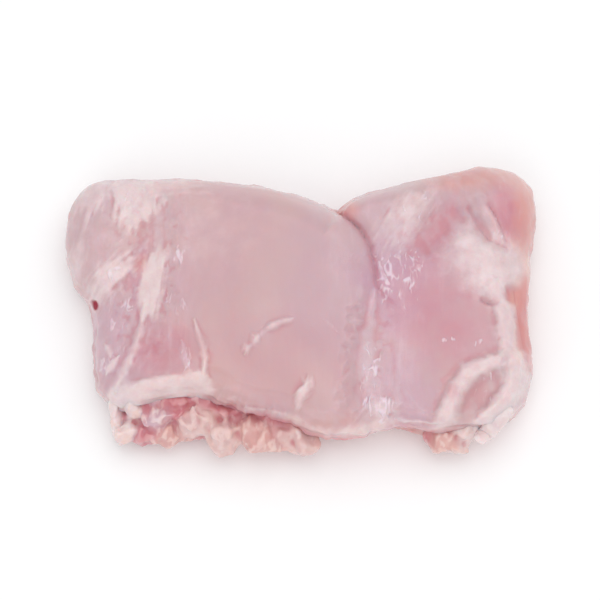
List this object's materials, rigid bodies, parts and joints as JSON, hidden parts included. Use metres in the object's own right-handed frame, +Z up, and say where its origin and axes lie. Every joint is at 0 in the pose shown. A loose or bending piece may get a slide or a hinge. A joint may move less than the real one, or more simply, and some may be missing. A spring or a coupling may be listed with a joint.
{
  "type": "raw chicken thigh",
  "caption": "Boned, skinned raw chicken thigh lying smooth side up, a lobed slab of muscle with creases, fat patches, fat cords and loose tags.",
  "frame": {"origin": "middle of the thigh's extent in X and Y, at the level of the flat patch that it rests on", "axes": "+X across the thigh to the right as the picture shows it, +Y to its far edge, +Z up"},
  "size_m": [0.1302, 0.0816, 0.0243],
  "materials": {
    "raw_meat": "wet, smooth, pale pink raw meat with cream fat"
  },
  "bodies": {
    "root": {"thigh": "raw_meat"}
  },
  "joints": []
}
